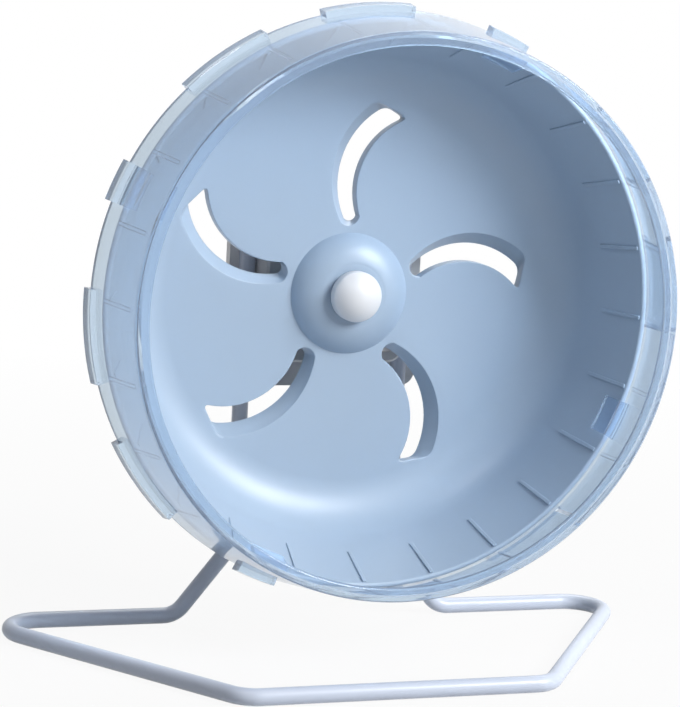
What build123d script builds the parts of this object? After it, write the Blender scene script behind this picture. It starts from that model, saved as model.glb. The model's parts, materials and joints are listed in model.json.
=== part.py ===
from build123d import *

# A running wheel for a small rodent, on a stand bent from one rod.
# The floor is Z = 0, the axle runs along Y and the wheel's open front faces -Y.
# The origin lies on the floor, under the middle of the stand's base.
import os
from math import cos, radians, sin, tan

os.makedirs("parts", exist_ok=True)

# Stand, measured along the rod's centre line
rod_diameter = 6.5
base_depth = 113.0
front_width = 120.6
rear_width = 278.6
foot_spacing = 114.0
upright_spacing = 67.0
knee_height = 33.0
front_bend = 12.0
rear_bend = 13.5
foot_bend = 10.0
end_cap_depth = 6.0
end_cap_wall = 1.2
end_cap_round = 0.9
end_cap_gap = 1.0

# Bracket that carries the axle on the uprights
axle_height = 140.0
block_thickness = 15.4
block_above = 22.0
block_below = 30.0
block_corner = 6.0
block_bevel = 1.0
block_side_gap = 0.75
ear_height = 25.0
ear_drop = 3.0
ear_wall = 4.0
cover_thickness = 6.0
cover_below = 42.0
groove_fit = 0.1

# Screws and nuts of the bracket
clamp_screw_diameter = 4.0
clamp_screw_spacing = 44.0
clamp_screw_above = 14.0
clamp_screw_below = 22.0
clamp_head_diameter = 7.0
clamp_head_height = 2.4
clamp_head_round = 0.8
clamp_nut_width = 7.0
clamp_nut_height = 3.2

# Axle and what it clamps
axle_diameter = 8.0
axle_head_width = 13.0
axle_head_height = 5.3
axle_head_pocket = 4.5
axle_washer_thickness = 1.6
axle_nut_height = 4.0
axle_tip = 1.0
axle_tip_bevel = 0.5
rear_spacer_length = 2.2
sleeve_wall = 1.6

# Ball bearings
bearing_width = 7.0
bearing_diameter = 22.0
bearing_gap = 3.0
bearing_recess = 0.3
ball_diameter = 3.97
ball_count = 7
race_depth = 0.5
cage_wall = 1.2
cage_side = 0.4
shield_thickness = 0.4
shield_recess = 0.3
shield_gap = 0.3

# Dished bowl
wheel_depth = 77.2
disc_thickness = 2.6
bowl_rim_setback = 32.4
bowl_rim_radius = 108.0
bowl_wall = 2.2
bowl_taper = 18.8
bowl_bend = 22.0
housing_radius = 14.0
housing_nose = 5.1
housing_heel = 0.5
housing_shoulder = 1.8

# Running ribs, in line on the bowl and on the ring
running_rib_count = 24
running_rib_height = 0.8
running_rib_width = 1.4
running_rib_phase = -1.4
bowl_rib_start = 0.8
bowl_rib_length = 20.0
ring_rib_start = 7.5
ring_rib_length = 23.9

# Swirl slots: the topmost one, by distance from the axle and angle from +X.
# Its convex side runs through three points, and a sweep leads from each to the concave side.
slot_count = 5
slot_outer_radius = 76.2
slot_middle_radius = 50.0
slot_inner_radius = 28.5
slot_outer_angle = 84.0
slot_middle_angle = 100.5
slot_inner_angle = 99.5
slot_outer_sweep = 10.5
slot_middle_sweep = 13.0
slot_inner_sweep = 14.5
slot_outer_drop = 3.9
slot_inner_rise = 2.1
slot_end_bulge = 2.4
ramp_width = 4.2
ramp_depth = 5.0
skirt_wall = 2.0
swirl_rib_width = 2.0
swirl_rib_depth = 4.0

# Clear ring
lip_radius = 105.0
lip_width = 5.2
lip_thickness = 2.4
lip_round = 0.8
ring_wall = 2.0
ring_length = 42.7
ring_rim_gap = 0.31
pad_height = 2.4
pad_length = 6.8
pad_repeats = 4
long_pad_angle = 18.0
short_pad_angle = 8.0
first_pad_start = 87.0
second_pad_start = 117.0
short_pad_start = 152.4
hook_length = 6.2
hook_wall = 1.7
hook_gap = 0.35
catch_setback = 2.2
catch_length = 1.8

# Hub cover, its screws and the axle's cap
cover_radius = 24.0
cover_nose_radius = 12.5
cover_nose_wall = 1.6
cover_bulge = 1.4
cover_bore_gap = 0.4
nose_hole_gap = 0.8
hub_screw_distance = 17.5
hub_screw_count = 3
hub_screw_start = 30.0
hub_screw_diameter = 2.5
hub_screw_bite = 2.8
hub_head_diameter = 5.2
hub_head_height = 1.6
cap_radius = 10.0
cap_height = 8.2
cap_dome = 4.5
cap_gap = 0.4

# Fits
bore_fit = 0.02
race_fit = 0.06
seat_fit = 0.1
screw_fit = 0.15

# Places along the stand and the axle, from the sizes above
rod_radius = rod_diameter / 2
front_y = -base_depth / 2
rear_y = base_depth / 2
upright_x = upright_spacing / 2
upright_top = axle_height + block_above + end_cap_gap + end_cap_depth
block_front = rear_y - block_thickness
cover_back = rear_y + cover_thickness
axle_head_front = cover_back - axle_head_pocket
rear_bearing_front = block_front - rear_spacer_length - bearing_width
front_bearing_front = rear_bearing_front - bearing_gap - bearing_width
washer_front = front_bearing_front - axle_washer_thickness
nut_front = washer_front - axle_nut_height
axle_front = nut_front - axle_tip
housing_front = front_bearing_front - bearing_recess
housing_back = rear_bearing_front + bearing_width + housing_heel
disc_front = housing_front + housing_nose
disc_back = disc_front + disc_thickness
lip_front = disc_front - wheel_depth
lip_back = lip_front + lip_thickness
rim_front = lip_front + bowl_rim_setback
ring_back = lip_front + ring_length
cover_nose_back = housing_front - seat_fit
cover_front = cover_nose_back - cover_nose_wall
cap_back = cover_front - cap_gap
cap_front = cap_back - cap_height

# Distances from the axle, from the sizes above
axle_radius = axle_diameter / 2
bearing_radius = bearing_diameter / 2
ball_radius = ball_diameter / 2
pitch_radius = (axle_radius + bearing_radius) / 2
inner_race_radius = pitch_radius - ball_radius + race_depth
outer_race_radius = pitch_radius + ball_radius - race_depth
nut_corner_radius = axle_head_width / 2 / cos(radians(30))
slot_width = slot_middle_radius * radians(slot_middle_sweep)
wall_slope = tan(radians(bowl_taper))
rim_inner_radius = bowl_rim_radius - bowl_wall / cos(radians(bowl_taper))

# The wheel turns about this line, counted anticlockwise as seen from the front
wheel_axis = Axis((0, 0, axle_height), (0, -1, 0))


def front_plane(y):
    """Upright plane at a depth, seen from the front, with the axle at its origin."""
    return Plane(origin=(0, y, axle_height), x_dir=(1, 0, 0), z_dir=(0, -1, 0))


def axial_plane(angle=90):
    """Plane through the axle at an angle: X is the depth along Y, Y the distance from the axle."""
    turn = radians(angle)
    return Plane(origin=(0, 0, axle_height), x_dir=(0, 1, 0), z_dir=(sin(turn), 0, -cos(turn)))


def even_angles(count, start=0):
    """Angles of evenly spaced copies round the axle."""
    return [start + 360 / count * step for step in range(count)]


def polar(radius, angle):
    """Point at a distance and an angle from the axle."""
    return (radius * cos(radians(angle)), radius * sin(radians(angle)))


def tube(start, end, inner_radius, outer_radius):
    """Draw the section of a tube between two depths and two distances from the axle."""
    corners = [(start, inner_radius), (end, inner_radius), (end, outer_radius), (start, outer_radius)]
    return Polygon(*corners, align=None)


def far_corner(sketch):
    """Corner of a section that is deepest and farthest from the axle."""
    return sketch.vertices().group_by(Axis.X)[-1].sort_by(Axis.Y)[-1]


def bowl_outside(depth):
    """Outer radius of the bowl's sloped wall at a depth."""
    return bowl_rim_radius - (depth - rim_front) * wall_slope


def bowl_inside(depth):
    """Inner radius of the bowl's sloped wall at a depth."""
    return rim_inner_radius - (depth - rim_front) * wall_slope


def ring_outside(depth):
    """Outer radius of the clear ring at a depth, flared from the lip to clear the bowl's rim."""
    flare = (bowl_rim_radius + ring_rim_gap + ring_wall - lip_radius) / bowl_rim_setback
    return lip_radius + flare * (depth - lip_front)


def ring_inside(depth):
    """Inner radius of the clear ring's wall at a depth."""
    return ring_outside(depth) - ring_wall


def rib_outline(start, length, inside):
    """Draw a running rib's side, rooted in the wall whose inner radius is given by depth."""
    root = ring_wall / 2
    end = start + length
    return Polygon(
        (start, inside(start) + root),
        (start, inside(start) - running_rib_height),
        (end, inside(end) - running_rib_height),
        (end, inside(end) + root),
        align=None,
    )


def swirl(turn, start, end):
    """Draw a swirl strip, turned from the topmost slot, between two widths off its convex side."""
    sides = []
    for share in (start / slot_width, end / slot_width):
        outer = polar(
            slot_outer_radius - slot_outer_drop * share,
            slot_outer_angle - slot_outer_sweep * share + turn,
        )
        middle = polar(slot_middle_radius, slot_middle_angle - slot_middle_sweep * share + turn)
        inner = polar(
            slot_inner_radius + slot_inner_rise * share,
            slot_inner_angle - slot_inner_sweep * share + turn,
        )
        sides.append((inner, middle, outer))
    convex, concave = sides
    with BuildLine() as outline:
        ThreePointArc(*convex)
        Line(convex[2], concave[2])
        ThreePointArc(*reversed(concave))
        SagittaArc(concave[0], convex[0], -slot_end_bulge * (end - start) / slot_width)
    return make_face(outline.edges())


def upright_circles(radius):
    """Draw a circle round each upright."""
    with Locations((-upright_x, rear_y), (upright_x, rear_y)):
        return Circle(radius)


def clamp_screw_circles(radius):
    """Draw a circle round each of the bracket's screws."""
    with Locations(*clamp_screw_places):
        return Circle(radius)


def clamp_nut_hexagons(width):
    """Draw a hexagon round each of the bracket's screws."""
    with Locations(*clamp_screw_places):
        return RegularPolygon(width / 2, 6, major_radius=False)


# Stand: one rod from the top of the left upright, round the base, to the top of the right one
rod_route = [
    (-upright_x, rear_y, upright_top),
    (-upright_x, rear_y, knee_height),
    (-foot_spacing / 2, rear_y, rod_radius),
    (-rear_width / 2, rear_y, rod_radius),
    (-front_width / 2, front_y, rod_radius),
    (front_width / 2, front_y, rod_radius),
    (rear_width / 2, rear_y, rod_radius),
    (foot_spacing / 2, rear_y, rod_radius),
    (upright_x, rear_y, knee_height),
    (upright_x, rear_y, upright_top),
]
half_bends = [foot_bend, foot_bend, rear_bend, front_bend]
with BuildPart() as stand_rod:
    with BuildLine() as route:
        FilletPolyline(*rod_route, radius=half_bends + half_bends[::-1])
    with BuildSketch(Plane(origin=route.line @ 0, z_dir=route.line % 0)):
        Circle(rod_radius)
    sweep()
stand_rod.part.label = "stand_rod"
export_step(stand_rod.part, "parts/stand_rod.step")

# Plugs over the tops of the uprights
with BuildPart() as rod_end_caps:
    with BuildSketch(Plane.XY.offset(upright_top - end_cap_depth)):
        upright_circles(rod_radius + groove_fit + end_cap_wall)
    extrude(amount=end_cap_depth + groove_fit + end_cap_wall)
    fillet(rod_end_caps.edges().group_by(Axis.Z)[-1], end_cap_round)
    with BuildSketch(Plane.XY.offset(upright_top - end_cap_depth)):
        upright_circles(rod_radius + groove_fit)
    extrude(amount=end_cap_depth + groove_fit, mode=Mode.SUBTRACT)
rod_end_caps.part.label = "rod_end_caps"
export_step(rod_end_caps.part, "parts/rod_end_caps.step")

# Block between the uprights, with ears that reach round their fronts
bracket_half_width = upright_x + rod_radius + ear_wall
ear_depth = rod_radius + ear_wall
clamp_screw_places = [
    (side * clamp_screw_spacing / 2, height)
    for side in (-1, 1)
    for height in (clamp_screw_above, -clamp_screw_below)
]
with BuildPart() as bracket_block:
    with BuildSketch(front_plane(block_front)):
        with Locations((0, (block_above - block_below) / 2)):
            RectangleRounded(
                upright_spacing - rod_diameter - 2 * block_side_gap,
                block_above + block_below,
                block_corner,
            )
    extrude(amount=-block_thickness)
    chamfer(bracket_block.faces().sort_by(Axis.Y)[0].edges(), block_bevel)
    with BuildSketch(front_plane(rear_y - ear_depth)):
        with Locations((0, -ear_drop - ear_height / 2)):
            Rectangle(2 * bracket_half_width, ear_height)
    extrude(amount=-ear_depth)
    with BuildSketch(Plane.XY.offset(axle_height - block_below)):
        upright_circles(rod_radius + groove_fit)
    extrude(amount=block_below + block_above, mode=Mode.SUBTRACT)
    with BuildSketch(front_plane(block_front)):
        Circle(axle_radius + screw_fit)
        clamp_screw_circles(clamp_screw_diameter / 2 + screw_fit)
    extrude(amount=-block_thickness, mode=Mode.SUBTRACT)
    with BuildSketch(front_plane(block_front)):
        clamp_nut_hexagons(clamp_nut_width + 2 * seat_fit)
    extrude(amount=-clamp_nut_height, mode=Mode.SUBTRACT)
bracket_block.part.label = "bracket_block"
export_step(bracket_block.part, "parts/bracket_block.step")

# Plate behind the uprights, with a pocket for the head of the axle's bolt
with BuildPart() as bracket_cover:
    with BuildSketch(front_plane(rear_y)):
        with Locations((0, (block_above - cover_below) / 2)):
            RectangleRounded(2 * bracket_half_width, block_above + cover_below, block_corner)
    extrude(amount=-cover_thickness)
    chamfer(bracket_cover.faces().sort_by(Axis.Y)[-1].edges(), block_bevel)
    with BuildSketch(Plane.XY.offset(axle_height - cover_below)):
        upright_circles(rod_radius + groove_fit)
    extrude(amount=cover_below + block_above, mode=Mode.SUBTRACT)
    with BuildSketch(front_plane(rear_y)):
        Circle(axle_radius + screw_fit)
        clamp_screw_circles(clamp_screw_diameter / 2 + screw_fit)
    extrude(amount=-cover_thickness, mode=Mode.SUBTRACT)
    with BuildSketch(front_plane(axle_head_front)):
        RegularPolygon(axle_head_width / 2 + seat_fit, 6, major_radius=False)
    extrude(amount=-axle_head_pocket, mode=Mode.SUBTRACT)
bracket_cover.part.label = "bracket_cover"
export_step(bracket_cover.part, "parts/bracket_cover.step")

# Screws from behind, and the nuts let into the front of the block
with BuildPart() as bracket_screws:
    with BuildSketch(front_plane(cover_back)):
        clamp_screw_circles(clamp_head_diameter / 2)
    extrude(amount=-clamp_head_height)
    fillet(bracket_screws.edges().group_by(Axis.Y)[-1], clamp_head_round)
    with BuildSketch(front_plane(block_front)):
        clamp_screw_circles(clamp_screw_diameter / 2)
    extrude(amount=-block_thickness - cover_thickness)
bracket_screws.part.label = "bracket_screws"
export_step(bracket_screws.part, "parts/bracket_screws.step")

with BuildPart() as bracket_nuts:
    with BuildSketch(front_plane(block_front)):
        clamp_nut_hexagons(clamp_nut_width)
    extrude(amount=-clamp_nut_height)
    with BuildSketch(front_plane(block_front)):
        clamp_screw_circles(clamp_screw_diameter / 2 + bore_fit)
    extrude(amount=-clamp_nut_height, mode=Mode.SUBTRACT)
bracket_nuts.part.label = "bracket_nuts"
export_step(bracket_nuts.part, "parts/bracket_nuts.step")

# Axle: a hexagon bolt from behind, with its nut
with BuildPart() as axle_bolt:
    with BuildSketch(front_plane(axle_head_front)):
        RegularPolygon(axle_head_width / 2, 6, major_radius=False)
    extrude(amount=-axle_head_height)
    with BuildSketch(front_plane(axle_head_front)):
        Circle(axle_radius)
    extrude(amount=axle_head_front - axle_front)
    chamfer(axle_bolt.edges().group_by(Axis.Y)[0], axle_tip_bevel)
axle_bolt.part.label = "axle_bolt"
export_step(axle_bolt.part, "parts/axle_bolt.step")

with BuildPart() as axle_nut:
    with BuildSketch(front_plane(nut_front)):
        RegularPolygon(axle_head_width / 2, 6, major_radius=False)
        Circle(axle_radius + bore_fit, mode=Mode.SUBTRACT)
    extrude(amount=-axle_nut_height)
axle_nut.part.label = "axle_nut"
export_step(axle_nut.part, "parts/axle_nut.step")

# Plain collars on the axle: front, length and outer radius of each
axle_collars = {
    "axle_washer": (washer_front, axle_washer_thickness, inner_race_radius),
    "spacer_sleeve": (front_bearing_front + bearing_width, bearing_gap, axle_radius + sleeve_wall),
    "rear_spacer": (rear_bearing_front + bearing_width, rear_spacer_length, inner_race_radius),
}
for name, (collar_front, collar_length, collar_radius) in axle_collars.items():
    with BuildPart() as collar:
        with BuildSketch(axial_plane()):
            tube(collar_front, collar_front + collar_length, axle_radius + bore_fit, collar_radius)
        revolve(axis=wheel_axis)
    collar.part.label = name
    export_step(collar.part, f"parts/{name}.step")

# Two ball bearings
cage_half = ball_radius + seat_fit + cage_side
for side, bearing_front in (("front", front_bearing_front), ("rear", rear_bearing_front)):
    bearing_back = bearing_front + bearing_width
    bearing_middle = bearing_front + bearing_width / 2

    with BuildPart() as outer_ring:
        with BuildSketch(axial_plane()):
            tube(bearing_front, bearing_back, outer_race_radius, bearing_radius)
            with Locations((bearing_middle, pitch_radius)):
                Circle(ball_radius + race_fit, mode=Mode.SUBTRACT)
        revolve(axis=wheel_axis)
    outer_ring.part.label = f"{side}_outer_ring"
    export_step(outer_ring.part, f"parts/{side}_outer_ring.step")

    with BuildPart() as inner_ring:
        with BuildSketch(axial_plane()):
            tube(bearing_front, bearing_back, axle_radius + bore_fit, inner_race_radius)
            with Locations((bearing_middle, pitch_radius)):
                Circle(ball_radius + race_fit, mode=Mode.SUBTRACT)
        revolve(axis=wheel_axis)
    inner_ring.part.label = f"{side}_inner_ring"
    export_step(inner_ring.part, f"parts/{side}_inner_ring.step")

    with BuildPart(front_plane(bearing_middle)) as balls:
        with PolarLocations(pitch_radius, ball_count):
            Sphere(ball_radius)
    balls.part.label = f"{side}_balls"
    export_step(balls.part, f"parts/{side}_balls.step")

    with BuildPart(front_plane(bearing_middle)) as cage:
        Cylinder(pitch_radius + cage_wall / 2, 2 * cage_half)
        Cylinder(pitch_radius - cage_wall / 2, 2 * cage_half, mode=Mode.SUBTRACT)
        with PolarLocations(pitch_radius, ball_count):
            Cylinder(ball_radius + seat_fit, 2 * cage_wall, rotation=(0, 90, 0), mode=Mode.SUBTRACT)
    cage.part.label = f"{side}_cage"
    export_step(cage.part, f"parts/{side}_cage.step")

    shield_fronts = (bearing_front + shield_recess, bearing_back - shield_recess - shield_thickness)
    with BuildPart() as shields:
        with BuildSketch(axial_plane()):
            for shield_front in shield_fronts:
                tube(
                    shield_front,
                    shield_front + shield_thickness,
                    inner_race_radius + shield_gap,
                    outer_race_radius - bore_fit,
                )
        revolve(axis=wheel_axis)
    shields.part.label = f"{side}_shields"
    export_step(shields.part, f"parts/{side}_shields.step")

# Dished bowl: sloped running wall, flat disc with swirl slots, bearing housing
hub_screw_places = [
    polar(hub_screw_distance, angle) for angle in even_angles(hub_screw_count, hub_screw_start)
]
rib_planes = [axial_plane(angle) for angle in even_angles(running_rib_count, running_rib_phase)]
swirl_rib_turn = 180 / slot_count
with BuildPart() as running_bowl:
    with BuildSketch(axial_plane()) as outside:
        Polygon(
            (rim_front, 0),
            (rim_front, bowl_rim_radius),
            (disc_back, bowl_outside(disc_back)),
            (disc_back, 0),
            align=None,
        )
        fillet(far_corner(outside), bowl_bend + bowl_wall)
    revolve(axis=wheel_axis)
    with BuildSketch(axial_plane()) as inside:
        Polygon(
            (rim_front, 0),
            (rim_front, rim_inner_radius),
            (disc_front, bowl_inside(disc_front)),
            (disc_front, 0),
            align=None,
        )
        fillet(far_corner(inside), bowl_bend)
    revolve(axis=wheel_axis, mode=Mode.SUBTRACT)
    with BuildSketch(*rib_planes):
        rib_outline(rim_front + bowl_rib_start, bowl_rib_length, bowl_inside)
    extrude(amount=running_rib_width / 2, both=True)

    # Skirts round the slots and stiffening ribs between them stand on the back of the disc
    with BuildSketch(front_plane(disc_back)):
        for turn in even_angles(slot_count):
            swirl(turn, 0, slot_width)
        offset(amount=skirt_wall)
    extrude(amount=disc_thickness - ramp_depth)
    with BuildSketch(front_plane(disc_back)):
        for turn in even_angles(slot_count, swirl_rib_turn):
            swirl(turn, 0, swirl_rib_width)
    extrude(amount=-swirl_rib_depth)
    with BuildSketch(front_plane(housing_front)):
        Circle(housing_radius)
    extrude(amount=housing_front - housing_back)

    # Each slot is open to the front and narrows backwards along a ramp on its convex side
    with BuildSketch(front_plane(disc_front)):
        for turn in even_angles(slot_count):
            swirl(turn, 0, slot_width)
    extrude(amount=disc_thickness, mode=Mode.SUBTRACT)
    for turn in even_angles(slot_count):
        with BuildSketch(front_plane(disc_front)):
            swirl(turn, 0, slot_width)
        with BuildSketch(front_plane(disc_front + ramp_depth)):
            swirl(turn, ramp_width, slot_width)
        loft(mode=Mode.SUBTRACT)

    # Two bearing seats with a shoulder between them, and the holes for the cover's screws
    with BuildSketch(axial_plane()):
        seat_radius = bearing_radius + bore_fit
        tube(housing_front, front_bearing_front + bearing_width, 0, seat_radius)
        tube(housing_front, housing_back, 0, bearing_radius - housing_shoulder)
        tube(rear_bearing_front, housing_back, 0, seat_radius)
    revolve(axis=wheel_axis, mode=Mode.SUBTRACT)
    with BuildSketch(front_plane(disc_front)):
        with Locations(*hub_screw_places):
            Circle(hub_screw_diameter / 2 + screw_fit)
    extrude(amount=-disc_thickness, mode=Mode.SUBTRACT)
running_bowl.part.label = "running_bowl"
export_step(running_bowl.part, "parts/running_bowl.step")

# Clear ring: front lip, flared wall, running ribs, raised pads at the back
pad_front = ring_back - pad_length
long_pad_starts = even_angles(pad_repeats, first_pad_start) + even_angles(pad_repeats, second_pad_start)
short_pad_starts = even_angles(pad_repeats, short_pad_start)
hook_front = rim_front - hook_gap - hook_wall
hook_bend = rim_front - hook_gap
hook_back = hook_bend + hook_length
catch_front = rim_front + catch_setback
catch_back = catch_front + catch_length
wall_middle = ring_wall / 2
with BuildPart() as clear_ring:
    with BuildSketch(axial_plane()) as section:
        Polygon(
            (lip_front, lip_radius - lip_width),
            (lip_front, lip_radius),
            (ring_back, ring_outside(ring_back)),
            (ring_back, ring_inside(ring_back)),
            (lip_back, ring_inside(lip_back)),
            (lip_back, lip_radius - lip_width),
            align=None,
        )
        fillet(section.vertices().group_by(Axis.X)[0], lip_round)
    revolve(axis=wheel_axis)
    with BuildSketch(*rib_planes):
        rib_outline(lip_front + ring_rib_start, ring_rib_length, ring_inside)
    extrude(amount=running_rib_width / 2, both=True)
    for starts, pad_angle in ((long_pad_starts, long_pad_angle), (short_pad_starts, short_pad_angle)):
        with BuildSketch(*[axial_plane(angle) for angle in starts]):
            Polygon(
                (pad_front, ring_inside(pad_front) + wall_middle),
                (pad_front, ring_outside(pad_front) + pad_height),
                (ring_back, ring_outside(ring_back) + pad_height),
                (ring_back, ring_inside(ring_back) + wall_middle),
                align=None,
            )
        revolve(axis=wheel_axis, revolution_arc=pad_angle)

    # Hooks reach inside the bowl's rim, and catches hold it from behind
    with BuildSketch(*[axial_plane(angle) for angle in short_pad_starts]):
        Polygon(
            (hook_front, ring_inside(hook_front) + wall_middle),
            (hook_front, bowl_inside(rim_front) - hook_gap - hook_wall),
            (hook_back, bowl_inside(hook_back) - hook_gap - hook_wall),
            (hook_back, bowl_inside(hook_back) - hook_gap),
            (hook_bend, bowl_inside(rim_front) - hook_gap),
            (hook_bend, ring_inside(hook_bend) + wall_middle),
            align=None,
        )
        Polygon(
            (catch_front, ring_inside(catch_front) + wall_middle),
            (catch_front, bowl_outside(catch_front) + hook_gap),
            (catch_back, bowl_outside(catch_front) + hook_gap),
            (catch_back, ring_inside(catch_back) + wall_middle),
            align=None,
        )
    revolve(axis=wheel_axis, revolution_arc=short_pad_angle)
clear_ring.part.label = "clear_ring"
export_step(clear_ring.part, "parts/clear_ring.step")

# Domed cover over the housing
cover_bore_radius = housing_radius + cover_bore_gap
nose_hole_radius = nut_corner_radius + nose_hole_gap
with BuildPart() as hub_cover:
    with BuildSketch(axial_plane()):
        with BuildLine():
            SagittaArc((disc_front, cover_radius), (cover_front, cover_nose_radius), -cover_bulge)
            Polyline(
                (cover_front, cover_nose_radius),
                (cover_front, nose_hole_radius),
                (cover_nose_back, nose_hole_radius),
                (cover_nose_back, cover_bore_radius),
                (disc_front, cover_bore_radius),
                (disc_front, cover_radius),
            )
        make_face()
    revolve(axis=wheel_axis)
    with BuildSketch(front_plane(disc_front)):
        with Locations(*hub_screw_places):
            Circle(hub_screw_diameter / 2)
    extrude(amount=hub_screw_bite + screw_fit, mode=Mode.SUBTRACT)
hub_cover.part.label = "hub_cover"
export_step(hub_cover.part, "parts/hub_cover.step")

# Screws that hold the cover from behind the disc
with BuildPart() as hub_screws:
    with BuildSketch(front_plane(disc_back)):
        with Locations(*hub_screw_places):
            Circle(hub_head_diameter / 2)
    extrude(amount=-hub_head_height)
    with BuildSketch(front_plane(disc_back)):
        with Locations(*hub_screw_places):
            Circle(hub_screw_diameter / 2 - bore_fit)
    extrude(amount=disc_thickness + hub_screw_bite)
hub_screws.part.label = "hub_screws"
export_step(hub_screws.part, "parts/hub_screws.step")

# Domed cap pressed over the axle's nut
cap_shoulder = cap_front + cap_dome
with BuildPart() as axle_cap:
    with BuildSketch(axial_plane()):
        with BuildLine():
            TangentArc((cap_front, 0), (cap_shoulder, cap_radius), tangent=(0, 1))
            Polyline((cap_shoulder, cap_radius), (cap_back, cap_radius), (cap_back, 0), (cap_front, 0))
        make_face()
    revolve(axis=wheel_axis)
    with BuildSketch(front_plane(cap_back)):
        RegularPolygon(axle_head_width / 2 + seat_fit, 6, major_radius=False)
    extrude(amount=cap_back - nut_front + seat_fit, mode=Mode.SUBTRACT)
    with BuildSketch(front_plane(nut_front)):
        Circle(axle_radius + seat_fit)
    extrude(amount=axle_tip + screw_fit, mode=Mode.SUBTRACT)
axle_cap.part.label = "axle_cap"
export_step(axle_cap.part, "parts/axle_cap.step")
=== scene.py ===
"""A rodent's running wheel on a bent rod stand, modelled and dressed over its fixed frame."""

import json
import logging
import math
from collections.abc import Callable, Iterable, Sequence
from dataclasses import dataclass
from enum import Enum

import bmesh
import bpy
from mathutils import Matrix, Vector

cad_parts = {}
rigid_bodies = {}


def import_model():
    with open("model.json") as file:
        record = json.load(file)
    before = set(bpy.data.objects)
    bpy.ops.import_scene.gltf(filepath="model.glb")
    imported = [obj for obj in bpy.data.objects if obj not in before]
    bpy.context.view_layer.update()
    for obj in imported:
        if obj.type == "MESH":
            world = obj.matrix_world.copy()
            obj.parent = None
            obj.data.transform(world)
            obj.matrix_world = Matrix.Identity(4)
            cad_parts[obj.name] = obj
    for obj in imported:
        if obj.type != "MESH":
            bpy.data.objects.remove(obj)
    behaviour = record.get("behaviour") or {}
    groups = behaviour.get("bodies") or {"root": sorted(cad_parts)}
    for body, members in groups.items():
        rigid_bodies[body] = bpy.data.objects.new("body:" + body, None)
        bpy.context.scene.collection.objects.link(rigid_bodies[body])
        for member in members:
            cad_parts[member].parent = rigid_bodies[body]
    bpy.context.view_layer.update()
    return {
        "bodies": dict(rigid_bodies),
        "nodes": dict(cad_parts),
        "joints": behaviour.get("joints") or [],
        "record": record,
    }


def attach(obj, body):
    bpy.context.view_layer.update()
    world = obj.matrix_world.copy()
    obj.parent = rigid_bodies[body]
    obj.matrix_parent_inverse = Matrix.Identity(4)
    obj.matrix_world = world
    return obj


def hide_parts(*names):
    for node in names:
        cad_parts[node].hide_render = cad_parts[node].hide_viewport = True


LOG = logging.getLogger("running_wheel")
MM = 0.001
AXLE_HEIGHT = 140.0
AXLE = Vector((0.0, 0.0, AXLE_HEIGHT * MM))
ANTICLOCKWISE = Vector((0.0, -1.0, 0.0))
LATHE_STEPS = 288
BEND_STEPS = 28
EDGE_STEPS = 4
MERGE_DISTANCE = 1e-6
SMOOTH_ANGLE = math.radians(32)

Point = tuple[float, float]
Colour = tuple[float, float, float]
Factors = tuple[float, float, float]


class Body(Enum):
    """Rigid bodies of the frame that carry the pieces."""

    STAND = "stand"
    WHEEL = "wheel"


class Slot(Enum):
    """Material slots of the frame's record."""

    ROD = "rod_paint"
    WHITE = "white_plastic"
    BLUE = "blue_plastic"
    CLEAR = "clear_plastic"
    FASTENER = "fastener_steel"
    SLEEVE = "sleeve_aluminium"
    BEARING = "bearing_steel"
    SHIELD = "shield_steel"


class Layer(Enum):
    """How a boolean tool changes the piece it is used on."""

    CUT = "DIFFERENCE"
    ADD = "UNION"


class Value:
    """A shader socket that can stand in a sum, a product or a difference."""

    def __init__(self, graph: "Graph", socket: bpy.types.NodeSocket) -> None:
        """Wrap one output socket of a graph."""
        self.graph = graph
        self.socket = socket

    def _math(self, operation: str, first: object, second: object) -> "Value":
        """Return the result of a Math node on two operands."""
        made = self.graph.node("ShaderNodeMath", {"operation": operation}, {0: first, 1: second})
        return Value(self.graph, made.outputs[0])

    def __add__(self, other: object) -> "Value":
        """Return self + other."""
        return self._math("ADD", self, other)

    def __radd__(self, other: object) -> "Value":
        """Return other + self."""
        return self._math("ADD", other, self)

    def __sub__(self, other: object) -> "Value":
        """Return self - other."""
        return self._math("SUBTRACT", self, other)

    def __rsub__(self, other: object) -> "Value":
        """Return other - self."""
        return self._math("SUBTRACT", other, self)

    def __mul__(self, other: object) -> "Value":
        """Return self * other."""
        return self._math("MULTIPLY", self, other)

    def __rmul__(self, other: object) -> "Value":
        """Return other * self."""
        return self._math("MULTIPLY", other, self)

    def clamped(self) -> "Value":
        """Return the value held between 0 and 1."""
        made = self.graph.node("ShaderNodeClamp", {}, {"Value": self})
        return Value(self.graph, made.outputs[0])


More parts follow.
